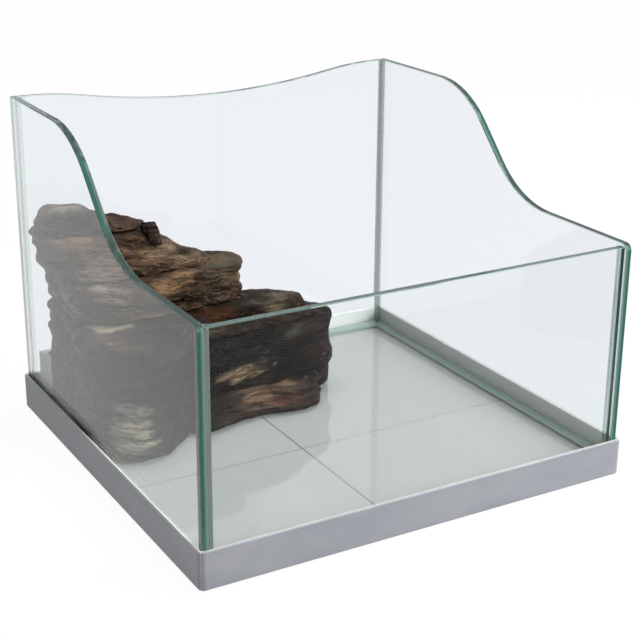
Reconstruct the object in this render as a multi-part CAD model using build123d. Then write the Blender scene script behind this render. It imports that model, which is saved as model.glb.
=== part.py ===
from build123d import *
import math
import os

# A small turtle tank: five float glass panes bonded with silicone, standing in a shallow
# moulded tray on four foam pads, with a basking rockery of bonded resin stones in its
# back left corner. The origin is the bottom centre of the tray. X runs right along the
# front pane, Y to the back and Z up. All sizes are in millimetres.

# Glass tank
glass_width = 300.0
glass_depth = 290.0
glass = 5.0
back_height = 221.0
side_front_height = 151.5
front_height = 150.0
arris = 0.5

# Swept top of the two side panes
crest_length = 79.0
sweep_radius = 75.0
sweep_angle = 46.0
nose_radius = 5.0

# Shallow dip in the top of the back pane
dip_depth = 12.4
dip_margin = 4.0
shoulder_radius = 240.0

# Silicone: a thin film between the panes and a hollow bead inside each corner
bond = 0.6
bead = 4.0

# Tray and the pads that the tank stands on
tray_height = 25.0
tray_wall = 2.2
tray_floor = 3.0
tank_gap = 0.7
tray_corner = 4.0
tray_under_edge = 1.5
tray_lip = 0.6
pad = 4.0
pad_clearance = 1.2
pad_joint = 0.8
pad_cross_x = -22.0
pad_cross_y = -31.0

# Rockery: clearances, and the heights of its beds above the tank's floor
pane_clearance = 1.5
block_top = 56.0
ledge_top = 72.0
slab_top = 99.0
tower_top = 127.0
crown_top = 140.0
foot_top = 19.0
knob_bottom = 113.0
knob_top = 131.0
bedding = 2.0
chipping = 0.9
casting_wall = 9.0

# Packing block between the rockery and the left pane
packing_plan = [(5.6, 0.0), (5.6, 3.2), (9.6, 13.2), (9.6, 7.0), (15.0, 1.2), (15.0, 0.0)]
packing_height = 31.0
packing_relief = 4.4

# Places that follow from the sizes above
half_width = glass_width / 2
half_depth = glass_depth / 2
inner_x = half_width - glass
inner_y = half_depth - glass
tank_bottom = tray_floor + pad
floor_top = tank_bottom + glass
high_top = tank_bottom + back_height
front_top = tank_bottom + front_height
side_front_top = tank_bottom + side_front_height
pocket_width = glass_width + 2 * tank_gap
pocket_depth = glass_depth + 2 * tank_gap
tray_width = pocket_width + 2 * tray_wall
tray_depth = pocket_depth + 2 * tray_wall

nodes = {}


def block(x0, x1, y0, y1, z0, z1):
    size = (x1 - x0, y1 - y0, z1 - z0)
    centre = ((x0 + x1) / 2, (y0 + y1) / 2, (z0 + z1) / 2)
    return Location(centre) * Box(*size)


# The tray: one moulding, rounded below and eased along its lip

def moulded_tray():
    outer = extrude(RectangleRounded(tray_width, tray_depth, tray_corner), tray_height)
    outer = fillet(outer.faces().sort_by(Axis.Z)[0].edges(), tray_under_edge)
    pocket_plan = RectangleRounded(pocket_width, pocket_depth, tray_corner - tray_wall)
    tray = outer - extrude(Plane.XY.offset(tray_floor) * pocket_plan, tray_height)
    return chamfer(tray.faces().sort_by(Axis.Z)[-1].edges(), tray_lip)


# Four foam pads that butt along two lines, which show through the floor glass

def floor_pads():
    edge_x = pocket_width / 2 - pad_clearance
    edge_y = pocket_depth / 2 - pad_clearance
    half_joint = pad_joint / 2
    columns = {"left": (-edge_x, pad_cross_x - half_joint), "right": (pad_cross_x + half_joint, edge_x)}
    rows = {"front": (-edge_y, pad_cross_y - half_joint), "back": (pad_cross_y + half_joint, edge_y)}
    pads = {}
    for row, (y0, y1) in rows.items():
        for column, (x0, x1) in columns.items():
            pads[f"floor_pad_{row}_{column}"] = block(x0, x1, y0, y1, tray_floor, tank_bottom)
    return pads


# The panes, each with a fine arris ground along all its edges

def ground(pane, axis):
    faces = pane.faces().filter_by(axis).sort_by(axis)
    return chamfer(faces[0].edges() + faces[-1].edges(), arris)


def side_profile():
    # The top falls from the back to the front in two equal arcs with a straight run between
    turn = math.radians(sweep_angle)
    fall = back_height - side_front_height - 2 * sweep_radius * (1 - math.cos(turn))
    run_length = fall / math.sin(turn)
    crest = Line((half_depth, high_top), (half_depth - crest_length, high_top))
    brow = JernArc(crest @ 1, crest % 1, sweep_radius, sweep_angle)
    run = Line(brow @ 1, brow @ 1 + (brow % 1) * run_length)
    hollow = JernArc(run @ 1, run % 1, sweep_radius, -sweep_angle)
    low = Line(hollow @ 1, (nose_radius - half_depth, side_front_top))
    nose = JernArc(low @ 1, low % 1, nose_radius, 90)
    rest = Polyline(nose @ 1, (-half_depth, tank_bottom), (half_depth, tank_bottom), crest @ 0)
    return make_face(Curve() + [crest, brow, run, hollow, low, nose, rest])


def side_pane(side):
    x0 = -half_width if side < 0 else inner_x
    pane = extrude(Plane.YZ.offset(x0) * side_profile(), glass)
    return ground(pane, Axis.X)


def back_pane():
    # The dip: two convex shoulders and a wide hollow arc, all tangent
    end_x = inner_x - bond
    reach = end_x - dip_margin
    both_radii = (reach ** 2 + dip_depth ** 2) / (2 * dip_depth)
    turn = math.degrees(math.asin(reach / both_radii))
    lead = Line((end_x, high_top), (reach, high_top))
    right = JernArc(lead @ 1, lead % 1, shoulder_radius, turn)
    hollow = JernArc(right @ 1, right % 1, both_radii - shoulder_radius, -2 * turn)
    left = JernArc(hollow @ 1, hollow % 1, shoulder_radius, turn)
    tail = Line(left @ 1, (-end_x, high_top))
    rest = Polyline(tail @ 1, (-end_x, tank_bottom), (end_x, tank_bottom), lead @ 0)
    face = make_face(Curve() + [lead, right, hollow, left, tail, rest])
    pane = extrude(Plane.XZ.offset(-half_depth) * face, glass)
    return ground(pane, Axis.Y)


def front_pane():
    end_x = inner_x - bond
    return ground(block(-end_x, end_x, -half_depth, -inner_y, tank_bottom, front_top), Axis.Y)


def bottom_pane():
    end_x = inner_x - bond
    end_y = inner_y - bond
    return ground(block(-end_x, end_x, -end_y, end_y, tank_bottom, floor_top), Axis.Z)


# Silicone seals

def cove(x_way, y_way):
    # Section of a bead tooled hollow, in a corner that opens along the given ways
    deepest = bead * (1 - math.sqrt(0.5))
    legs = Polyline((0, y_way * bead), (0, 0), (x_way * bead, 0))
    hollow = ThreePointArc(legs @ 1, (x_way * deepest, y_way * deepest), legs @ 0)
    return make_face(Curve() + [legs, hollow])


def corner_seal(side, end):
    # side is -1 for left and 1 for right, end is -1 for the front and 1 for the back
    top = front_top if end < 0 else high_top
    film_x = sorted((side * inner_x, side * (inner_x - bond)))
    film_y = sorted((end * half_depth, end * inner_y))
    film = block(*film_x, *film_y, tank_bottom, top)
    corner = Pos(side * inner_x, end * inner_y) * cove(-side, -end)
    return film + extrude(Plane.XY.offset(floor_top) * corner, top - floor_top, dir=(0, 0, 1))


def long_floor_seal(end):
    reach = inner_x - bond
    film_y = sorted((end * inner_y, end * (inner_y - bond)))
    film = block(-reach, reach, *film_y, tank_bottom, floor_top)
    section = Plane.YZ * Pos(end * inner_y, floor_top) * cove(-end, 1)
    return film + extrude(section, reach, both=True)


def short_floor_seal(side):
    film_x = sorted((side * inner_x, side * (inner_x - bond)))
    film = block(*film_x, -inner_y, inner_y, tank_bottom, floor_top)
    section = Plane.XZ * Pos(side * inner_x, floor_top) * cove(-side, 1)
    return film + extrude(section, inner_y, both=True)


def seals():
    made = {}
    sides = {"left": -1, "right": 1}
    ends = {"front": -1, "back": 1}
    for end_name, end in ends.items():
        for side_name, side in sides.items():
            made[f"corner_seal_{end_name}_{side_name}"] = corner_seal(side, end)
    columns = list(made.values())
    for end_name, end in ends.items():
        made[f"floor_seal_{end_name}"] = long_floor_seal(end) - columns
    runs = [made["floor_seal_front"], made["floor_seal_back"]]
    for side_name, side in sides.items():
        made[f"floor_seal_{side_name}"] = short_floor_seal(side) - columns - runs
    return made


# The rockery. Each stone's outline is given at its bottom and its top, as distances from
# the back left corner inside the panes: to the right, and towards the front.

def level(outline, height, swell, faces, warp):
    # One ring of corners round a stone: its rounded outline, broken into short chipped edges
    edge = Spline(*outline, periodic=True)
    middle = Vector(*[sum(values) / len(outline) for values in zip(*outline)])
    ring = []
    for index in range(faces):
        place = edge @ (index / faces)
        away = place - middle
        chip = chipping * (math.sin(2.7 * index + 0.5 * height) + 0.6 * math.sin(1.3 * index - 0.2 * height))
        place = place + away * ((swell + chip) / away.length)
        rise = warp * math.sin(0.8 * index + 0.1 * height)
        ring.append(Vector(place.X - inner_x, inner_y - place.Y, floor_top + height + rise))
    return ring


def stone(low_outline, high_outline, low, high, beds, faces, inset=0.0):
    # Each bed stands out between two grooves, and no two are quite as thick or as deep
    step = (high - low) / beds
    levels = [(low, -bedding / 2, 0)]
    for index in range(beds):
        foot = low + index * step
        depth = bedding * (0.6 + 0.4 * math.sin(1.7 * index + 0.1 * low))
        groove = high if index == beds - 1 else foot + step * (1 + 0.12 * math.sin(2.3 * index))
        levels += [(foot + 0.3 * step, depth, 0.12 * step), (foot + 0.78 * step, 0.7 * depth, 0.12 * step)]
        levels.append((groove, -bedding / 2, 0 if index == beds - 1 else 0.08 * step))
    rings = []
    for height, swell, warp in levels:
        share = (height - low) / (high - low)
        outline = [
            (x0 + (x1 - x0) * share, y0 + (y1 - y0) * share)
            for (x0, y0), (x1, y1) in zip(low_outline, high_outline)
        ]
        rings.append(level(outline, height, swell - inset, faces, warp))
    sides = []
    for below, above in zip(rings, rings[1:]):
        for index in range(faces):
            after = (index + 1) % faces
            sides.append(make_face(Polyline(below[index], below[after], above[after], close=True)))
            sides.append(make_face(Polyline(below[index], above[after], above[index], close=True)))
    caps = [make_face(Polyline(*ring, close=True)) for ring in (rings[0], rings[-1])]
    return Solid(Shell(sides + caps))


def room():
    # The space that the rockery may fill, just clear of the left and back panes and of
    # the beads along the floor
    edge_x = pane_clearance - inner_x
    edge_y = inner_y - pane_clearance
    bead_top = floor_top + bead + pane_clearance
    over = block(edge_x, inner_x, -inner_y, edge_y, bead_top, high_top)
    return over + block(edge_x + bead, inner_x, -inner_y, edge_y - bead, floor_top, bead_top)


def rockery():
    block_foot = [(12, 9), (9, 60), (7, 120), (24, 144), (52, 133), (74, 112), (110, 104), (165, 99),
                  (194, 84), (186, 56), (132, 36), (60, 12)]
    block_head = [(12, 9), (9, 60), (10, 118), (26, 136), (54, 128), (78, 111), (112, 103), (170, 97),
                  (198, 80), (188, 56), (132, 38), (60, 12)]
    lower_block = stone(block_foot, block_head, 0, block_top, 4, 40)
    hollow = stone(block_foot, block_head, 0, block_top - casting_wall, 1, 26, casting_wall)
    middle_ledge = stone(
        [(12, 8), (9, 60), (10, 114), (28, 131), (56, 124), (80, 106), (112, 99), (166, 93), (190, 80),
         (180, 60), (130, 46), (60, 12)],
        [(13, 8), (10, 60), (12, 108), (30, 124), (58, 118), (82, 100), (112, 92), (150, 89), (168, 77),
         (158, 63), (126, 54), (60, 16)],
        block_top, ledge_top, 2, 36)
    upper_slab = stone(
        [(15, 6), (14, 40), (18, 68), (34, 79), (56, 83), (80, 80), (112, 76), (130, 68), (132, 56),
         (104, 34), (55, 10)],
        [(11, 5), (10, 42), (15, 66), (32, 76), (56, 79), (80, 76), (109, 72), (134, 64), (132, 50),
         (98, 28), (50, 8)],
        ledge_top, slab_top, 3, 30)
    tower = stone(
        [(7, 4), (6, 40), (12, 60), (30, 68), (56, 71), (84, 68), (112, 62), (118, 50), (92, 28), (46, 8)],
        [(4, 3), (4, 36), (10, 48), (26, 54), (44, 57), (58, 57), (67, 52), (66, 40), (54, 20), (32, 5)],
        slab_top, tower_top, 3, 28)
    crown = stone(
        [(7, 4), (7, 34), (13, 45), (26, 49), (42, 51), (60, 50), (71, 42), (66, 24), (48, 10), (26, 5)],
        [(12, 8), (12, 30), (17, 38), (27, 42), (40, 44), (53, 44), (62, 37), (57, 22), (44, 13), (27, 9)],
        tower_top, crown_top, 2, 24)
    foot_ledge = stone(
        [(66, 100), (76, 124), (100, 119), (130, 116), (158, 121), (176, 106), (180, 90), (120, 76)],
        [(70, 100), (80, 119), (102, 114), (130, 111), (154, 115), (170, 103), (174, 90), (120, 78)],
        0, foot_top, 2, 24) - lower_block
    crown_knob = stone(
        [(58, 52), (60, 60), (67, 63), (74, 60), (76, 51), (67, 44)],
        [(59, 52), (61, 58), (67, 61), (72, 58), (73, 51), (67, 46)],
        knob_bottom, knob_top, 2, 12) - tower - crown
    stones = {
        "rock_lower_block": lower_block - hollow,
        "rock_middle_ledge": middle_ledge,
        "rock_upper_slab": upper_slab,
        "rock_tower": tower,
        "rock_crown": crown,
        "rock_foot_ledge": foot_ledge,
        "rock_crown_knob": crown_knob,
    }
    return {name: shape & room() for name, shape in stones.items()}


# A pale packing block in the corner, cut to a wedge that follows the stones, with its foot
# relieved where the bead along the back pane runs. Its plan is measured like the stones are.

def packing_block():
    plan = [(x - inner_x, inner_y - y) for x, y in packing_plan]
    body = extrude(Plane.XY.offset(floor_top) * make_face(Polyline(*plan, close=True)), packing_height)
    foot = body.edges().filter_by(Axis.X).group_by(Axis.Z)[0].sort_by(Axis.Y)[-1]
    return chamfer(foot, packing_relief)


nodes["base_tray"] = moulded_tray()
nodes.update(floor_pads())
nodes["bottom_glass"] = bottom_pane()
nodes["front_glass"] = front_pane()
nodes["back_glass"] = back_pane()
nodes["left_glass"] = side_pane(-1)
nodes["right_glass"] = side_pane(1)
nodes.update(seals())
nodes["packing_block"] = packing_block()
nodes.update(rockery())

os.makedirs("parts", exist_ok=True)
for name, shape in nodes.items():
    export_step(shape, f"parts/{name}.step")
print(len(nodes), "nodes written")
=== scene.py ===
import math

import bpy
from mathutils import Matrix, Vector


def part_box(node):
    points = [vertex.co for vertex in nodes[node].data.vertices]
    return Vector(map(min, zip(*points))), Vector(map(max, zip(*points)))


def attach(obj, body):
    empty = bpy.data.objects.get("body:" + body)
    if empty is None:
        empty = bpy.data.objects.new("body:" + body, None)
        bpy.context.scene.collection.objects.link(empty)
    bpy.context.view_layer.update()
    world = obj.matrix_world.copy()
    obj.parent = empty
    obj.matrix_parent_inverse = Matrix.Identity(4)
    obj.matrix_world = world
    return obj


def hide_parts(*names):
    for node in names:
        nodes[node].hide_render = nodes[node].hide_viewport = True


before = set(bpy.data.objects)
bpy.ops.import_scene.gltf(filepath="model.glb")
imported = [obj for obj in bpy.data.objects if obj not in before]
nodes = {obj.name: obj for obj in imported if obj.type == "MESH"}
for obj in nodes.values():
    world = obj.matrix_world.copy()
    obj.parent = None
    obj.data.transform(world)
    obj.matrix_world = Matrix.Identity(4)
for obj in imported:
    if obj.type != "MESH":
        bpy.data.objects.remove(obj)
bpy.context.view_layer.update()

# A small glass turtle tank in its shallow tray, with a layered basking rockery in one corner.
# Everything is in metres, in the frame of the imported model, and sizes named Mm are in millimetres.

scene = bpy.context.scene
mm = 0.001
mixUnder, mixOver, mixResult = 6, 7, 2      # a Mix node's colour sockets, which share their names
print("stage: frame loaded,", len(nodes), "nodes")


# Small helpers

def toLinear(hexColour):
    # sRGB hex to the linear light that the shaders want
    values = [int(hexColour[place:place + 2], 16) / 255 for place in (1, 3, 5)]
    linear = [v / 12.92 if v <= 0.04045 else ((v + 0.055) / 1.055) ** 2.4 for v in values]
    return (*linear, 1.0)


def addNode(tree, kind, inputs=None, **settings):
    # An input is a plain value, a hex colour, a socket, or a node that gives its first output
    node = tree.nodes.new(kind)
    for name, value in settings.items():
        setattr(node, name, value)
    for name, value in (inputs or {}).items():
        if isinstance(value, bpy.types.Node):
            value = value.outputs[0]
        if isinstance(value, bpy.types.NodeSocket):
            tree.links.new(value, node.inputs[name])
        else:
            node.inputs[name].default_value = toLinear(value) if isinstance(value, str) else value
    return node


def startMaterial(name):
    material = bpy.data.materials.new(name)
    material.use_nodes = True
    material.node_tree.nodes.clear()
    tree = material.node_tree
    output = addNode(tree, "ShaderNodeOutputMaterial")
    place = addNode(tree, "ShaderNodeTexCoord").outputs["Object"]
    return material, tree, output, place


def setRamp(node, *stops):
    # stops are (position, hex colour)
    ramp = node.color_ramp
    while len(ramp.elements) < len(stops):
        ramp.elements.new(0.5)
    for element, (position, hexColour) in zip(ramp.elements, stops):
        element.position = position
        element.color = toLinear(hexColour)
    return node


def patternAt(tree, kind, place, sizeMm, **inputs):
    # A pattern with its real size in mm along X, Y and Z
    spot = addNode(tree, "ShaderNodeMapping", {
        "Vector": place, "Scale": [1 / (size * mm) for size in sizeMm],
    })
    return addNode(tree, kind, {"Vector": spot, "Scale": 1.0, **inputs})


def paintWhere(tree, base, colour, value, span, most=1.0, times=None):
    # Paint over the base: none where the value is at the start of the span, most at its end,
    # and less where a second share thins it
    share = addNode(tree, "ShaderNodeMapRange", {
        "Value": value, "From Min": span[0], "From Max": span[1], "To Max": most,
    })
    if times is not None:
        share = addNode(tree, "ShaderNodeMath", {0: share, 1: times}, operation="MULTIPLY")
    painted = addNode(tree, "ShaderNodeMix", {0: share, mixUnder: base, mixOver: colour},
                      data_type="RGBA")
    return painted.outputs[mixResult]


def between(tree, value, low, high):
    # 1 where a value lies between two limits
    above = addNode(tree, "ShaderNodeMath", {0: value, 1: low}, operation="GREATER_THAN")
    below = addNode(tree, "ShaderNodeMath", {0: value, 1: high}, operation="LESS_THAN")
    return addNode(tree, "ShaderNodeMath", {0: above, 1: below}, operation="MULTIPLY")


def pickOnly(piece):
    bpy.ops.object.select_all(action="DESELECT")
    piece.select_set(True)
    bpy.context.view_layer.objects.active = piece


copyLimits = {"mergeMm": 0.002, "flatAngle": 0.5}


def copyNode(nodeName, pieceName):
    # A working copy of a solid, with its loose triangles merged and its flat faces whole
    piece = bpy.data.objects.new(pieceName, nodes[nodeName].data.copy())
    scene.collection.objects.link(piece)
    pickOnly(piece)
    bpy.ops.object.mode_set(mode="EDIT")
    bpy.ops.mesh.select_all(action="SELECT")
    bpy.ops.mesh.remove_doubles(threshold=copyLimits["mergeMm"] * mm)
    bpy.ops.mesh.dissolve_limited(angle_limit=math.radians(copyLimits["flatAngle"]))
    bpy.ops.mesh.select_all(action="DESELECT")
    bpy.ops.object.mode_set(mode="OBJECT")
    return piece


def dress(piece, material):
    piece.data.materials.clear()
    piece.data.materials.append(material)


def settle(piece, body, nodeName):
    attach(piece, body)
    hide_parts(nodeName)


# Float glass: five panes, clear on the faces and green where light runs along them

glassLook = {
    "lampTint": "#FCFCFC",      # what a lamp's light keeps through one face
    "body": "#5FA99C",          # iron in the glass: light that has run a long way comes out teal
    "bodyDensity": 9.0,
    "halvesMm": (2.3, 3.3),     # depths from the outer face where an edge turns to its inner half
    "skinRoughness": 0.4,
    "skinIor": 1.25,
    # the top edges' colour is a painted reflection: darker where a cut edge looks up, as if it
    # mirrored the dark ceiling
    "topEdge": "#38504B",       # a cut edge that looks up mirrors the dark ceiling
    "topSpan": (0.65, 0.92),    # how far up it looks, as its normal's Z
    "endSpan": (0.95, 0.9),     # how far an end looks along its axis
    "arris": "#86A99D",         # the fine ground bevel scatters a little white
    "arrisShare": 0.45,
    "arrisRoughness": 0.4,
    "arrisIor": 1.52,
    "edgeSlope": 0.3,           # below this a face is a cut edge, and above faceSlope a large face
    "faceSlope": 0.95,
    "smoothAngle": 20,
}
# Each pane: the axis that its two large faces look along, its tint, how much it mirrors, how
# rough its faces are, and for the outer and the inner half of its cut edges the colour of the
# ground skin and its share over the clear glass. The back and right panes carry the grey-blue
# of the whole tank; the front pane mirrors least. Some ends are wetted by the sealant that they
# are bedded in and stay clear: clearEnd gives the axis and the side that such an end looks to.
paneKinds = {
    "bottom_glass": {
        "faceWay": 2, "tint": "#FAFAFA", "ior": 1.42, "roughness": 0.06,
        "edges": ("#347262", "#347262"), "skins": (0.4, 0.4),
    },
    "front_glass": {
        "faceWay": 1, "tint": "#FFFFFF", "ior": 1.2, "roughness": 0.0,
        "edges": ("#457F71", "#457F71"), "skins": (0.85, 0.85), "clearEnd": (0, 1),
    },
    "back_glass": {
        "faceWay": 1, "tint": "#F3F5FA", "ior": 1.3, "roughness": 0.0,
        "edges": ("#3A4746", "#8FAAA1"), "skins": (0.85, 0.1), "clearEnd": (0, -1),
    },
    "left_glass": {
        "faceWay": 0, "tint": "#FFFFFF", "ior": 1.23, "roughness": 0.0,
        "edges": ("#3D8370", "#8FAAA1"), "skins": (0.6, 0.6), "clearEnd": (1, 1),
    },
    "right_glass": {
        "faceWay": 0, "tint": "#F3F5FA", "ior": 1.3, "roughness": 0.0,
        "edges": ("#387266", "#6B948A"), "skins": (0.75, 0.75),
    },
}


def floatGlass(name, kind, outerFace):
    # Float glass, fire polished: clear and smooth on the two large faces, with cut edges that
    # are ground and polished, and a fine matt arris along each
    material, tree, output, place = startMaterial(name)
    clear = addNode(tree, "ShaderNodeBsdfPrincipled", {
        "Base Color": kind["tint"],
        "Roughness": kind["roughness"],
        "IOR": kind["ior"],
        "Transmission Weight": 1.0,
    })
    across = addNode(tree, "ShaderNodeSeparateXYZ", {0: place}).outputs[kind["faceWay"]]
    away = addNode(tree, "ShaderNodeMath", {0: across}, operation="ABSOLUTE")
    outerEnds, innerStarts = [outerFace - depth * mm for depth in glassLook["halvesMm"]]
    innerShare = addNode(tree, "ShaderNodeMapRange", {
        "Value": away, "From Min": outerEnds, "From Max": innerStarts,
    })
    facing = addNode(tree, "ShaderNodeTexCoord").outputs["Normal"]
    looks = addNode(tree, "ShaderNodeSeparateXYZ", {0: facing}).outputs

    outerColour, innerColour = kind["edges"]
    sideEdge = addNode(tree, "ShaderNodeMix", {
        0: innerShare, mixUnder: outerColour, mixOver: innerColour,
    }, data_type="RGBA").outputs[mixResult]
    # Painted reflection: cut edges that look up are painted the dark of the ceiling that they would
    # mirror
    edge = paintWhere(tree, sideEdge, glassLook["topEdge"], looks[2], glassLook["topSpan"])
    skin = addNode(tree, "ShaderNodeBsdfPrincipled", {
        "Base Color": edge, "Roughness": glassLook["skinRoughness"], "IOR": glassLook["skinIor"],
    })
    skinShare = addNode(tree, "ShaderNodeMapRange", {
        "Value": innerShare, "To Min": kind["skins"][0], "To Max": kind["skins"][1],
    })
    slope = addNode(tree, "ShaderNodeMath", {0: looks[kind["faceWay"]]}, operation="ABSOLUTE")
    isEdge = addNode(tree, "ShaderNodeMath", {0: slope, 1: glassLook["edgeSlope"]},
                     operation="LESS_THAN")
    edgeShare = addNode(tree, "ShaderNodeMath", {0: isEdge, 1: skinShare}, operation="MULTIPLY")
    if "clearEnd" in kind:
        way, side = kind["clearEnd"]
        bare, full = [share * side for share in glassLook["endSpan"]]
        notEnd = addNode(tree, "ShaderNodeMapRange", {
            "Value": looks[way], "From Min": bare, "From Max": full,
        })
        edgeShare = addNode(tree, "ShaderNodeMath", {0: edgeShare, 1: notEnd},
                            operation="MULTIPLY")

    ground = addNode(tree, "ShaderNodeBsdfPrincipled", {
        "Base Color": glassLook["arris"],
        "Roughness": glassLook["arrisRoughness"],
        "IOR": glassLook["arrisIor"],
    })
    isArris = between(tree, slope, glassLook["edgeSlope"], glassLook["faceSlope"])
    arrisShare = addNode(tree, "ShaderNodeMath", {0: isArris, 1: glassLook["arrisShare"]},
                         operation="MULTIPLY")
    pane = addNode(tree, "ShaderNodeMixShader", {0: edgeShare, 1: clear, 2: skin})
    pane = addNode(tree, "ShaderNodeMixShader", {0: arrisShare, 1: pane, 2: ground})
    through = addNode(tree, "ShaderNodeBsdfTransparent", {"Color": glassLook["lampTint"]})
    isShadow = addNode(tree, "ShaderNodeLightPath").outputs["Is Shadow Ray"]
    pane = addNode(tree, "ShaderNodeMixShader", {0: isShadow, 1: pane, 2: through})
    body = addNode(tree, "ShaderNodeVolumeAbsorption", {
        "Color": glassLook["body"], "Density": glassLook["bodyDensity"],
    })
    tree.links.new(pane.outputs[0], output.inputs["Surface"])
    tree.links.new(body.outputs[0], output.inputs["Volume"])
    return material


def smoothEdges(pane, faceWay):
    # The swept edge is smooth along its curve, and the two large faces stay dead flat
    pickOnly(pane)
    bpy.ops.object.shade_smooth_by_angle(angle=math.radians(glassLook["smoothAngle"]))
    bpy.ops.object.mode_set(mode="EDIT")
    bpy.ops.mesh.select_all(action="DESELECT")
    bpy.ops.mesh.select_mode(type="FACE")
    bpy.ops.object.mode_set(mode="OBJECT")
    for face in pane.data.polygons:
        face.select = abs(face.normal[faceWay]) > glassLook["faceSlope"]
    bpy.ops.object.mode_set(mode="EDIT")
    bpy.ops.mesh.faces_shade_flat()
    bpy.ops.object.mode_set(mode="OBJECT")


for nodeName, kind in paneKinds.items():
    pane = copyNode(nodeName, nodeName.replace("_glass", "_pane"))
    outerFace = max(abs(corner[kind["faceWay"]]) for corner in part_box(nodeName))
    dress(pane, floatGlass("float glass " + nodeName.replace("_glass", ""), kind, outerFace))
    smoothEdges(pane, kind["faceWay"])
    settle(pane, "tank", nodeName)
print("stage: panes")


# Silicone, tray and foam keep their solids and get their finish here

siliconeLook = {
    "roughness": 0.3,
    "ior": 1.41,
    "waveMm": (6, 6, 9),        # a wet finger's waves along the bead
    "waveStrength": 0.25,
    "waveDepthMm": 0.4,
    "glow": 0.4,                # how much of the milky part lets light through
    "clear": "#F6F8F7",
    "jointMm": 0.05,            # the film starts this far before the panes' inner faces
}
# How clear each kind of seal is, its bead inside the panes and its film in the joint
sealKinds = {
    "thick": {"colour": "#ACB5AE", "beadClear": 0.4, "filmClear": 0.35},
    "faint": {"colour": "#ACB5AE", "beadClear": 0.93, "filmClear": 1.0},
    "back": {"colour": "#868C8B", "beadClear": 0.45, "filmClear": 1.0},
    "floor": {"colour": "#C0D9CE", "beadClear": 0.5, "filmClear": 1.0},
}
trayLook = {
    "colour": "#A9ABB2",
    "shade": "#9FA2A9",
    "cloudMm": (40, 40, 16),
    "cloudStops": (0.35, 0.65),
    # the inside colour is the bare plastic made lighter as painted light, which lifts the shade in
    # the narrow gap behind the panes
    "inside": "#F4F1E6",
    "paintMm": 1.1,             # how far in from the skirt the silver paint reaches
    "undersideMm": 1.0,
    "roughness": 0.42,
    "grainMm": (0.7, 0.7, 0.7),
    "grainStrength": 0.2,
    "grainDepthMm": 0.1,
}
foamLook = {
    "colour": "#DEDFDE",
    "shade": "#D4D5D4",
    "cellStops": (0.1, 0.9),
    "soiled": "#C6C9C7",
    "soiledMm": (1.0, 0.3),     # from a butted joint: where the grey starts and where it is full
    "cellMm": (1.1, 1.1, 1.1),
    "cellStrength": 0.3,
    "cellDepthMm": 0.2,
    "roughness": 0.8,
}


def silicone(name, kind):
    # Clear-grade silicone sealant, tooled wet: a soft milky bead inside the panes, and a thin
    # film in the joint
    material, tree, output, place = startMaterial(name)
    wave = patternAt(tree, "ShaderNodeTexNoise", place, siliconeLook["waveMm"],
                     Detail=2.0, Roughness=0.5)
    bump = addNode(tree, "ShaderNodeBump", {
        "Height": wave,
        "Strength": siliconeLook["waveStrength"],
        "Distance": siliconeLook["waveDepthMm"] * mm,
    })
    skin = addNode(tree, "ShaderNodeBsdfPrincipled", {
        "Base Color": kind["colour"],
        "Roughness": siliconeLook["roughness"],
        "IOR": siliconeLook["ior"],
        "Normal": bump,
    })
    glow = addNode(tree, "ShaderNodeBsdfTranslucent", {"Color": kind["colour"]})
    milk = addNode(tree, "ShaderNodeMixShader", {0: siliconeLook["glow"], 1: skin, 2: glow})
    clear = addNode(tree, "ShaderNodeBsdfTransparent", {"Color": siliconeLook["clear"]})
    spot = addNode(tree, "ShaderNodeSeparateXYZ", {0: place}).outputs
    inner = []
    for way, innerFace in ((0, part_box("right_glass")[0].x), (1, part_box("back_glass")[0].y)):
        reach = innerFace - siliconeLook["jointMm"] * mm
        inner.append(between(tree, spot[way], -reach, reach))
    isBead = addNode(tree, "ShaderNodeMath", {0: inner[0], 1: inner[1]}, operation="MULTIPLY")
    share = addNode(tree, "ShaderNodeMapRange", {
        "Value": isBead, "To Min": kind["filmClear"], "To Max": kind["beadClear"],
    })
    seal = addNode(tree, "ShaderNodeMixShader", {0: share, 1: milk, 2: clear})
    tree.links.new(seal.outputs[0], output.inputs["Surface"])
    return material


def trayPlastic():
    # Moulded ABS, satin: silver grey paint outside with a fine grain and faint cloudiness; bare
    # off-white plastic inside, painted near white as painted light that lifts the shade in the
    # narrow gap behind the panes
    material, tree, output, place = startMaterial("moulded ABS silver grey")
    cloud = patternAt(tree, "ShaderNodeTexNoise", place, trayLook["cloudMm"],
                      Detail=3.0, Roughness=0.5)
    low, high = trayLook["cloudStops"]
    paint = setRamp(addNode(tree, "ShaderNodeValToRGB", {"Fac": cloud}),
                    (low, trayLook["shade"]), (high, trayLook["colour"]))
    grain = patternAt(tree, "ShaderNodeTexNoise", place, trayLook["grainMm"],
                      Detail=2.0, Roughness=0.5)
    bump = addNode(tree, "ShaderNodeBump", {
        "Height": grain,
        "Strength": trayLook["grainStrength"],
        "Distance": trayLook["grainDepthMm"] * mm,
    })
    spot = addNode(tree, "ShaderNodeSeparateXYZ", {0: place}).outputs
    inner = []
    for way in (0, 1):
        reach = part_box("base_tray")[1][way] - trayLook["paintMm"] * mm
        inner.append(between(tree, spot[way], -reach, reach))
    within = addNode(tree, "ShaderNodeMath", {0: inner[0], 1: inner[1]}, operation="MULTIPLY")
    above = addNode(tree, "ShaderNodeMath", {0: spot[2], 1: trayLook["undersideMm"] * mm},
                    operation="GREATER_THAN")
    inside = addNode(tree, "ShaderNodeMath", {0: within, 1: above}, operation="MULTIPLY")
    # Painted light: the inside walls are painted near white to lift the shade of the narrow gap
    # behind the panes
    colour = addNode(tree, "ShaderNodeMix", {
        0: inside, mixUnder: paint, mixOver: trayLook["inside"],
    }, data_type="RGBA").outputs[mixResult]
    body = addNode(tree, "ShaderNodeBsdfPrincipled", {
        "Base Color": colour, "Roughness": trayLook["roughness"], "Normal": bump,
    })
    tree.links.new(body.outputs[0], output.inputs["Surface"])
    return material


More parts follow.
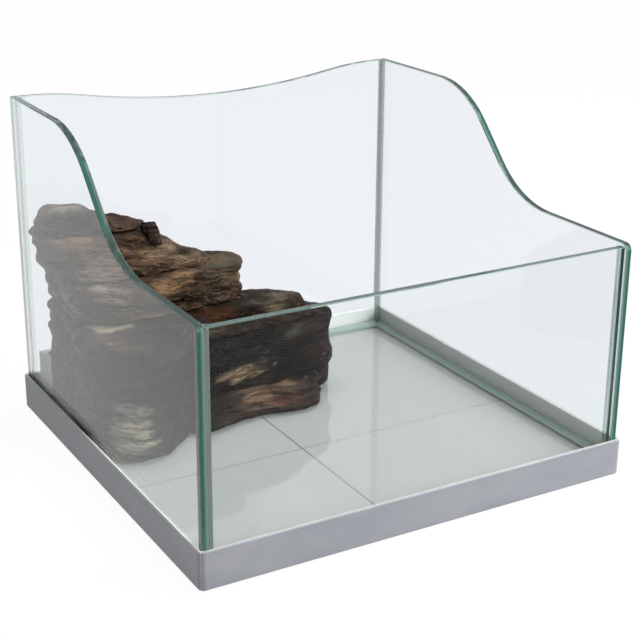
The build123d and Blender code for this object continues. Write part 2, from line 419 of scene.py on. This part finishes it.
def foam():
    # Closed-cell polyethylene foam: off-white, matt, small round cells, greyer close to where
    # the pads butt
    material, tree, output, place = startMaterial("closed cell foam")
    cells = patternAt(tree, "ShaderNodeTexVoronoi", place, foamLook["cellMm"])
    low, high = foamLook["cellStops"]
    colour = setRamp(addNode(tree, "ShaderNodeValToRGB", {"Fac": cells}),
                     (low, foamLook["colour"]), (high, foamLook["shade"]))
    spot = addNode(tree, "ShaderNodeSeparateXYZ", {0: place}).outputs
    outside, full = [distance * mm for distance in foamLook["soiledMm"]]
    joints = []
    for way in (0, 1):
        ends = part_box("floor_pad_front_left")[1][way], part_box("floor_pad_back_right")[0][way]
        offset = addNode(tree, "ShaderNodeMath", {0: spot[way], 1: sum(ends) / 2},
                         operation="SUBTRACT")
        away = addNode(tree, "ShaderNodeMath", {0: offset}, operation="ABSOLUTE")
        joints.append(addNode(tree, "ShaderNodeMapRange", {
            "Value": away, "From Min": outside, "From Max": full,
        }))
    joint = addNode(tree, "ShaderNodeMath", {0: joints[0], 1: joints[1]}, operation="MAXIMUM")
    # greyer within a millimetre of each butted joint
    soiled = addNode(tree, "ShaderNodeMix", {
        0: joint, mixUnder: colour, mixOver: foamLook["soiled"],
    }, data_type="RGBA").outputs[mixResult]
    bump = addNode(tree, "ShaderNodeBump", {
        "Height": cells,
        "Strength": foamLook["cellStrength"],
        "Distance": foamLook["cellDepthMm"] * mm,
    })
    body = addNode(tree, "ShaderNodeBsdfPrincipled", {
        "Base Color": soiled, "Roughness": foamLook["roughness"], "Normal": bump,
    })
    tree.links.new(body.outputs[0], output.inputs["Surface"])
    return material


seals = {name: silicone("clear silicone " + name + " bead", kind)
         for name, kind in sealKinds.items()}
trayFinish = trayPlastic()
foamFinish = foam()
for nodeName, node in nodes.items():
    if nodeName == "corner_seal_front_left":
        dress(node, seals["thick"])
    elif nodeName == "corner_seal_back_right":
        dress(node, seals["back"])
    elif "corner_seal" in nodeName:
        dress(node, seals["faint"])
    elif "floor_seal" in nodeName:
        dress(node, seals["floor"])
    elif nodeName == "base_tray":
        dress(node, trayFinish)
    elif "pad" in nodeName or nodeName == "packing_block":
        dress(node, foamFinish)
print("stage: tray, foam and silicone")


# The rockery: each bonded stone is weathered from its plain solid

stoneShape = {
    "voxelMm": 1.1,
    "softenTimes": 20,
    "weather": {            # each pattern's kind, its size along X, Y and Z, and its depth
        "bed": ("CLOUDS", (70, 70, 17), 4.0),       # broad beds that stand out and fall back
        "leaf": ("CLOUDS", (34, 34, 5), 1.9),       # thin leaves within a bed
        "chip": ("VORONOI", (17, 17, 9), 2.8),      # shell-like chips along the edges
        "grit": ("CLOUDS", (4.0, 4.0, 2.0), 0.6),
    },
    "middle": 0.46,
    "shiftMm": (37, 21, 0),     # each stone takes the patterns from a place of its own
    "clearMm": 0.9,             # room kept to the panes
}
# Each stone was bonded on with its beds at its own slant, and painted from its own mix.
# A blot is a place in mm, its reach along X, Y and Z, and its colour. A fall is where along X
# the top starts and ends to drop, and by how much.
stones = {
    "rock_lower_block": {
        "slant": (3, -2, 0), "shift": 0, "dark": "#0E0C0B", "mid": "#1B1715", "light": "#362C26",
        "tan": 0.3,
        "blots": [
            ((-35, 37, 42), (15, 10, 4.5), "#A98F72"),
            ((-127, 1, 27), (13, 14, 13), "#B5AC94"),
            ((-126, 7, 47), (12, 10, 3), "#8E8676"),
            ((-139, 40, 50), (8, 22, 7), "#4A453F"),
            ((-41, 36, 58), (32, 14, 9), "#1E1F25"),
            ((17, 41, 63), (16, 16, 4), "#4C4A44"),
            ((44, 60, 45), (14, 16, 22), "#3A2A2D"),
        ],
    },
    "rock_middle_ledge": {
        "slant": (-3, 4, 10), "shift": 1, "dark": "#14100D", "mid": "#30261F", "light": "#56473A",
        "tan": 0.35,
        "blots": [
            ((-45, 48, 84), (15, 12, 4), "#482C1E"),
            ((-113, 60, 84), (14, 10, 2), "#A89F8A"),
            ((-138, 66, 73), (8, 14, 6), "#6F685D"),
            ((2, 55, 83), (16, 12, 5), "#6B604F"),
            ((-16, 62, 84), (14, 12, 4), "#2C2F27"),
        ],
    },
    "rock_upper_slab": {
        "slant": (4, 6, -12), "shift": 2, "dark": "#1D1814", "mid": "#453930", "light": "#846A52",
        "tan": 0.45,
        "blots": [
            ((-71, 61, 107), (18, 14, 7), "#9C7C5C"),
            ((-30, 68, 110), (16, 14, 6), "#4C4E42"),
            ((-14, 66, 103), (10, 12, 9), "#43373A"),
            ((-36, 62, 97), (18, 12, 4), "#4C4436"),
            ((-64, 61, 96), (13, 12, 4.5), "#12140E"),
            ((-133, 92, 98), (9, 12, 12), "#8C8474"),
            ((-114, 64, 107), (13, 10, 6), "#8A796C"),
        ],
    },
    "rock_tower": {
        "slant": (-4, 9, 20), "shift": 3, "dark": "#1D1713", "mid": "#45372E", "light": "#8C7059",
        "tan": 0.5,
        "blots": [
            ((-82, 74, 122), (14, 14, 7), "#735B45"),
            ((-66, 76, 126), (14, 12, 6), "#94806C"),
            ((-46, 77, 116), (14, 12, 4), "#7A6853"),
            ((-112, 75, 119), (13, 10, 8), "#86756A"),
            ((-140, 98, 132), (8, 16, 8), "#6F6860"),
        ],
    },
    "rock_crown": {
        "slant": (5, -5, 0), "shift": 4, "dark": "#1B1512", "mid": "#3B2F29", "light": "#6A5649",
        "tan": 0.4, "falls": [(-109, -96, 9.4), (-94, -80, -6.6), (-132, -141, 4.4)],
        "blots": [
            ((-128, 116, 152), (16, 16, 4), "#8D867A"),
            ((-92, 90, 147), (16, 12, 5), "#6B5547"),
        ],
    },
    "rock_foot_ledge": {
        "slant": (2, 3, 0), "shift": 5, "dark": "#131110", "mid": "#2C2522", "light": "#57473C",
        "tan": 0.35,
        "blots": [
            ((-20, 27, 29), (20, 12, 8), "#7E6450"),
            ((-3, 23, 22), (13, 9, 3.5), "#5A3026"),
            ((10, 22, 20), (9, 12, 8), "#1F1C1B"),
            ((-62, 18, 20), (18, 12, 7), "#272A26"),
        ],
    },
    "rock_crown_knob": {
        "slant": (0, 8, 0), "shift": 6, "dark": "#1D1613", "mid": "#40312B", "light": "#69544A",
        "tan": 0.3, "softenTimes": 7, "scale": (0.86, 0.8, 1.0), "moveMm": (1.6, 0, 1.4),
        "blots": [],
    },
}
# The noises of the paint, each with its size along X, Y and Z, its detail and its roughness
paintNoises = {
    "beds": ((50, 50, 13), 5.0, 0.6),
    "ragged": ((16, 16, 5), 4.0, 0.6),          # frays the rims of the blots
    "streaks": ((30, 30, 3.2), 4.0, 0.55),
    "patches": ((38, 38, 20), 2.0, 0.5),
    "wash": ((28, 28, 4), 3.0, 0.5),
    "fleck": ((7, 7, 1.3), 3.0, 0.5),
    "split": ((44, 44, 9), 4.0, 0.55),          # its contours are the ledges, with cracks and painted shade at their feet
    "grain": ((11, 11, 3.0), 6.0, 0.65),
    "gloss": ((9, 9, 5), 2.0, 0.5),
}
# Each span gives the values at which a paint starts and is full
stoneLook = {
    "bedStops": (0.36, 0.53, 0.74),
    "shiftMm": 50,
    "wornSpan": (0.4, 0.56),        # along these streaks a blot is worn down to wornShare
    "wornShare": 0.3,
    "blotFray": 2.8,
    "blotSpan": (2.75, 2.0),
    "blotMost": 0.95,
    "tanSpan": (0.54, 0.7),
    "tanMost": 0.8,
    "tanWidth": 0.18,
    "washSpan": (0.5, 0.36),
    "washMost": 0.55,
    # pale flecks: paint specks, and painted glints that stand in for the lacquer's small highlights
    "fleck": "#8F8B7E",
    "fleckSpan": (0.62, 0.72),
    "fleckMost": 0.7,
    "fleckPatches": (0.48, 0.6),
    "hollow": "#0B0908",            # pointiness is 0.5 on a flat face and less in a hollow
    "hollowSpan": (0.495, 0.44),
    # lighter on the sharp edges: worn paint, and a painted highlight where an edge would catch the
    # light
    "rubbed": "#77664F",
    "rubbedSpan": (0.53, 0.6),
    "rubbedMost": 0.4,
    "ledges": 9.0,
    "steepSpan": (0.9, 0.55),       # ledges show on the sides, not on the flat tops
    # a painted highlight along the lip of each ledge
    "lipSpan": (0.7, 1.0),
    "lipMost": 0.4,
    # a dark line at the foot of each ledge: a crack, and painted shade under the step
    "crack": "#080706",
    "crackSpan": (0.16, 0.02),
    "glossSpan": (0.38, 0.62),
    "roughness": (0.25, 0.6),
    "ior": 1.07,                    # thin worn lacquer that mirrors little
    "bumpStrength": 0.8,
    "bumpDepthMm": 1.8,
}


def roughen(piece, stone, name, kind, sizeMm, depthMm):
    # One displace modifier; the empty's scale and turn set how the pattern lies
    texture = bpy.data.textures.new(name, type=kind)
    texture.noise_scale = 1.0
    guide = bpy.data.objects.new(name + " guide", None)
    guide.scale = [size * mm for size in sizeMm]
    guide.rotation_euler = [math.radians(angle) for angle in stone["slant"]]
    guide.location = [step * mm * stone["shift"] for step in stoneShape["shiftMm"]]
    scene.collection.objects.link(guide)
    bpy.context.view_layer.update()
    pickOnly(piece)
    bpy.ops.object.modifier_add(type="DISPLACE")
    displace = piece.modifiers[-1]
    displace.texture = texture
    displace.texture_coords = "OBJECT"
    displace.texture_coords_object = guide
    displace.mid_level = stoneShape["middle"]
    displace.strength = depthMm * mm
    bpy.ops.object.modifier_apply(modifier=displace.name)
    bpy.data.objects.remove(guide)


def soften(piece, times):
    pickOnly(piece)
    bpy.ops.object.modifier_add(type="SMOOTH")
    piece.modifiers[-1].iterations = times
    bpy.ops.object.modifier_apply(modifier=piece.modifiers[-1].name)


def dropTop(piece, falls):
    # The top falls away, or rises by a fall below 0; the foot stays where it is
    heights = [point.co.z for point in piece.data.vertices]
    low, high = min(heights), max(heights)
    for point in piece.data.vertices:
        for start, end, depthMm in falls:
            share = min(max((point.co.x / mm - start) / (end - start), 0), 1)
            share = share * share * (3 - 2 * share)
            point.co.z -= depthMm * mm * share * (point.co.z - low) / (high - low)


def resize(piece, scale, moveMm):
    # About the middle of the piece, which then moves
    spots = [point.co for point in piece.data.vertices]
    middle = sum(spots, Vector()) / len(spots)
    for spot in spots:
        away = spot - middle
        spot[:] = [middle[way] + away[way] * scale[way] + moveMm[way] * mm for way in range(3)]


def keepClear(piece):
    # Corners that the weathering pushed too far are drawn back off the panes and the floor
    clear = stoneShape["clearMm"] * mm
    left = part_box("left_glass")[1].x + clear
    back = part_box("back_glass")[0].y - clear
    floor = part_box("bottom_glass")[1].z
    for point in piece.data.vertices:
        point.co.x = max(point.co.x, left)
        point.co.y = min(point.co.y, back)
        point.co.z = max(point.co.z, floor)


def weatherStone(nodeName, stone):
    piece = copyNode(nodeName, nodeName.replace("rock_", "stone_"))
    bpy.ops.object.modifier_add(type="REMESH")
    remesh = piece.modifiers[-1]
    remesh.mode = "VOXEL"
    remesh.voxel_size = stoneShape["voxelMm"] * mm
    bpy.ops.object.modifier_apply(modifier=remesh.name)
    dropTop(piece, stone.get("falls", []))
    soften(piece, stone.get("softenTimes", stoneShape["softenTimes"]))
    if "scale" in stone:
        resize(piece, stone["scale"], stone["moveMm"])
    for name, pattern in stoneShape["weather"].items():
        roughen(piece, stone, name, *pattern)
    keepClear(piece)
    bpy.ops.object.shade_smooth()
    dress(piece, stonePaint(nodeName, stone))
    settle(piece, "rockery", nodeName)


def blotDistance(tree, place, ragged, centre, reach):
    # How far a point lies from a blot of paint, in its own reach and with a ragged rim
    spot = addNode(tree, "ShaderNodeMapping", {
        "Vector": place,
        "Location": [-c / r for c, r in zip(centre, reach)],
        "Scale": [1 / (r * mm) for r in reach],
    })
    away = addNode(tree, "ShaderNodeVectorMath", {0: spot}, operation="LENGTH").outputs["Value"]
    return addNode(tree, "ShaderNodeMath", {0: ragged, 1: stoneLook["blotFray"], 2: away},
                   operation="MULTIPLY_ADD")


def stonePaint(nodeName, stone):
    # Cast polyester resin stone, painted in thin brown washes and lacquered: near black in the
    # hollows, streaked along the beds, with blots of tan, rust and grey-green, fine cracks with
    # painted shade at the foot of each ledge, and painted highlights on the ledge lips, the worn
    # edges and the pale flecks
    stoneName = nodeName.replace("rock_", "")
    material, tree, output, place = startMaterial("lacquered resin stone " + stoneName)
    turned = addNode(tree, "ShaderNodeMapping", {
        "Vector": place,
        "Rotation": [-math.radians(angle) for angle in stone["slant"]],
        "Location": (stoneLook["shiftMm"] * mm * stone["shift"], 0, 0),
    })
    noises = {}
    for name, (sizeMm, detail, roughness) in paintNoises.items():
        source = place if name == "gloss" else turned
        noises[name] = patternAt(tree, "ShaderNodeTexNoise", source, sizeMm,
                                 Detail=detail, Roughness=roughness)

    darkStop, midStop, lightStop = stoneLook["bedStops"]
    paint = setRamp(addNode(tree, "ShaderNodeValToRGB", {"Fac": noises["beds"]}),
                    (darkStop, stone["dark"]), (midStop, stone["mid"]),
                    (lightStop, stone["light"]))
    worn = addNode(tree, "ShaderNodeMapRange", {
        "Value": noises["streaks"],
        "From Min": stoneLook["wornSpan"][0],
        "From Max": stoneLook["wornSpan"][1],
        "To Min": stoneLook["wornShare"],
    })
    for centre, reach, colour in stone["blots"]:
        rim = blotDistance(tree, place, noises["ragged"], centre, reach)
        paint = paintWhere(tree, paint, colour, rim, stoneLook["blotSpan"],
                           stoneLook["blotMost"], worn)

    tanned = addNode(tree, "ShaderNodeMapRange", {
        "Value": noises["patches"],
        "From Min": 1 - stone["tan"],
        "From Max": 1 + stoneLook["tanWidth"] - stone["tan"],
    })
    paint = paintWhere(tree, paint, stone["light"], noises["streaks"], stoneLook["tanSpan"],
                       stoneLook["tanMost"], tanned)
    paint = paintWhere(tree, paint, stone["dark"], noises["wash"], stoneLook["washSpan"],
                       stoneLook["washMost"])
    # Pale flecks, partly paint specks and partly painted glints in place of the lacquer's highlights
    fleckGlintShare = addNode(tree, "ShaderNodeMapRange", {
        "Value": noises["patches"].outputs["Color"],
        "From Min": stoneLook["fleckPatches"][0],
        "From Max": stoneLook["fleckPatches"][1],
    })
    paint = paintWhere(tree, paint, stoneLook["fleck"], noises["fleck"], stoneLook["fleckSpan"],
                       stoneLook["fleckMost"], fleckGlintShare)
    pointed = addNode(tree, "ShaderNodeNewGeometry").outputs["Pointiness"]
    paint = paintWhere(tree, paint, stoneLook["hollow"], pointed, stoneLook["hollowSpan"])
    # Painted highlight: the sharp edges are painted lighter, as worn paint and as the light they
    # would catch
    paint = paintWhere(tree, paint, stoneLook["rubbed"], pointed, stoneLook["rubbedSpan"],
                       stoneLook["rubbedMost"])

    steps = addNode(tree, "ShaderNodeMath", {0: noises["split"], 1: stoneLook["ledges"]},
                    operation="MULTIPLY")
    ledge = addNode(tree, "ShaderNodeMath", {0: steps}, operation="FRACT")
    facing = addNode(tree, "ShaderNodeTexCoord").outputs["Normal"]
    upward = addNode(tree, "ShaderNodeSeparateXYZ", {0: facing}).outputs[2]
    slope = addNode(tree, "ShaderNodeMath", {0: upward}, operation="ABSOLUTE")
    steep = addNode(tree, "ShaderNodeMapRange", {
        "Value": slope,
        "From Min": stoneLook["steepSpan"][0],
        "From Max": stoneLook["steepSpan"][1],
    })
    # Painted highlight along each ledge's lip, on the steep sides
    paint = paintWhere(tree, paint, stone["light"], ledge, stoneLook["lipSpan"],
                       stoneLook["lipMost"], steep)
    # Painted shade: near black at the foot of each ledge, where a crack runs and the step shades it
    paint = paintWhere(tree, paint, stoneLook["crack"], ledge, stoneLook["crackSpan"],
                       times=steep)

    rough = addNode(tree, "ShaderNodeMapRange", {
        "Value": noises["gloss"],
        "From Min": stoneLook["glossSpan"][0],
        "From Max": stoneLook["glossSpan"][1],
        "To Min": stoneLook["roughness"][0],
        "To Max": stoneLook["roughness"][1],
    })
    height = addNode(tree, "ShaderNodeMath", {0: ledge, 1: steep, 2: noises["grain"]},
                     operation="MULTIPLY_ADD")
    bump = addNode(tree, "ShaderNodeBump", {
        "Height": height,
        "Strength": stoneLook["bumpStrength"],
        "Distance": stoneLook["bumpDepthMm"] * mm,
    })
    body = addNode(tree, "ShaderNodeBsdfPrincipled", {
        "Base Color": paint, "Roughness": rough, "IOR": stoneLook["ior"], "Normal": bump,
    })
    tree.links.new(body.outputs[0], output.inputs["Surface"])
    return material


for nodeName, stone in stones.items():
    weatherStone(nodeName, stone)
    print("stage: stone", nodeName)


# Floor, light and camera

studio = {
    "white": "#FFFFFF",
    "floorSize": 12.0,
    "floorColour": "#A4A4A4",
    "floorWhiteShare": 0.86,
    "floorWhite": 1.1,
    "worldWhite": 1.0,
    "ambient": 0.45,
    "flagColour": "#050505",
    "flagPlace": (-0.42, 0.35, 0.4),
    "flagTurn": (0, 90, 0),
    "flagSize": 0.8,
    "keyPlace": (1.2, -1.0, 0.85),
    "keySize": 1.0,
    "keyPower": 28,
    "topPlace": (0.2, 0.3, 2.2),
    "topSize": 1.6,
    "topPower": 24,
}
cameraPlace = {
    "location": (-0.445003, -0.780596, 0.426530),
    "right": (0.87018, -0.49272, 0.00407),
    "forward": (0.46386, 0.81637, -0.34405),
    "lens": 80.08,
    "shift": (0.02175, -0.02205),
    "clipStart": 0.05,
}


def seenRays(tree):
    # 1 for camera, mirror and glass rays, 0 for the light that falls on things, also where it
    # comes through the panes
    path = addNode(tree, "ShaderNodeLightPath").outputs
    first = addNode(tree, "ShaderNodeMath", {
        0: path["Is Camera Ray"], 1: path["Is Glossy Ray"],
    }, operation="MAXIMUM")
    seen = addNode(tree, "ShaderNodeMath", {
        0: first, 1: path["Is Transmission Ray"],
    }, operation="MAXIMUM")
    direct = addNode(tree, "ShaderNodeMath", {
        0: path["Diffuse Depth"], 1: 0.5,
    }, operation="LESS_THAN")
    return addNode(tree, "ShaderNodeMath", {0: seen, 1: direct}, operation="MULTIPLY")


def makeFloor():
    # Pale studio floor that the camera, mirrors and glass see as white, with the soft shadow kept
    bpy.ops.object.select_all(action="DESELECT")
    bpy.ops.mesh.primitive_plane_add(size=studio["floorSize"], location=(0, 0, 0))
    floor = bpy.context.object
    floor.name = "studio_floor"
    material, tree, output = startMaterial("studio floor")[:3]
    lit = addNode(tree, "ShaderNodeBsdfDiffuse", {"Color": studio["floorColour"]})
    white = addNode(tree, "ShaderNodeEmission", {
        "Color": studio["white"], "Strength": studio["floorWhite"],
    })
    share = addNode(tree, "ShaderNodeMath", {
        0: seenRays(tree), 1: studio["floorWhiteShare"],
    }, operation="MULTIPLY")
    mix = addNode(tree, "ShaderNodeMixShader", {0: share, 1: lit, 2: white})
    tree.links.new(mix.outputs[0], output.inputs["Surface"])
    dress(floor, material)


def makeFlag():
    # A black flag beside the left of the tray, which takes the soft light off that side; only
    # the light's own rays meet it
    bpy.ops.object.select_all(action="DESELECT")
    bpy.ops.mesh.primitive_plane_add(
        size=studio["flagSize"], location=studio["flagPlace"],
        rotation=[math.radians(angle) for angle in studio["flagTurn"]],
    )
    flag = bpy.context.object
    flag.name = "studio_flag"
    flag.visible_camera = flag.visible_glossy = flag.visible_transmission = False
    material, tree, output = startMaterial("black flag cloth")[:3]
    cloth = addNode(tree, "ShaderNodeBsdfDiffuse", {"Color": studio["flagColour"]})
    tree.links.new(cloth.outputs[0], output.inputs["Surface"])
    dress(flag, material)


def makeWorld():
    world = bpy.data.worlds.new("studio")
    scene.world = world
    world.use_nodes = True
    tree = world.node_tree
    tree.nodes.clear()
    output = addNode(tree, "ShaderNodeOutputWorld")
    soft = addNode(tree, "ShaderNodeBackground", {
        "Color": studio["white"], "Strength": studio["ambient"],
    })
    white = addNode(tree, "ShaderNodeBackground", {
        "Color": studio["white"], "Strength": studio["worldWhite"],
    })
    mix = addNode(tree, "ShaderNodeMixShader", {0: seenRays(tree), 1: soft, 2: white})
    tree.links.new(mix.outputs[0], output.inputs["Surface"])


def makeLamp(name):
    # An area lamp that looks at the tank's foot
    place = studio[name + "Place"]
    bpy.ops.object.light_add(type="AREA", location=place)
    lamp = bpy.context.object
    lamp.name = name
    lamp.data.size = studio[name + "Size"]
    lamp.data.energy = studio[name + "Power"]
    lamp.rotation_euler = (-Vector(place)).to_track_quat("-Z", "Y").to_euler()


def makeCamera():
    forward = Vector(cameraPlace["forward"]).normalized()
    right = Vector(cameraPlace["right"]).normalized()
    up = right.cross(forward)
    camera = bpy.data.objects.new("camera", bpy.data.cameras.new("camera"))
    scene.collection.objects.link(camera)
    camera.location = cameraPlace["location"]
    camera.rotation_euler = Matrix((right, up, -forward)).transposed().to_euler()
    camera.data.lens = cameraPlace["lens"]
    camera.data.shift_x, camera.data.shift_y = cameraPlace["shift"]
    camera.data.clip_start = cameraPlace["clipStart"]
    scene.camera = camera


makeFloor()
makeFlag()
makeWorld()
makeLamp("key")
makeLamp("top")
makeCamera()
scene.view_settings.view_transform = "Standard"
print("stage: floor, lights and camera")
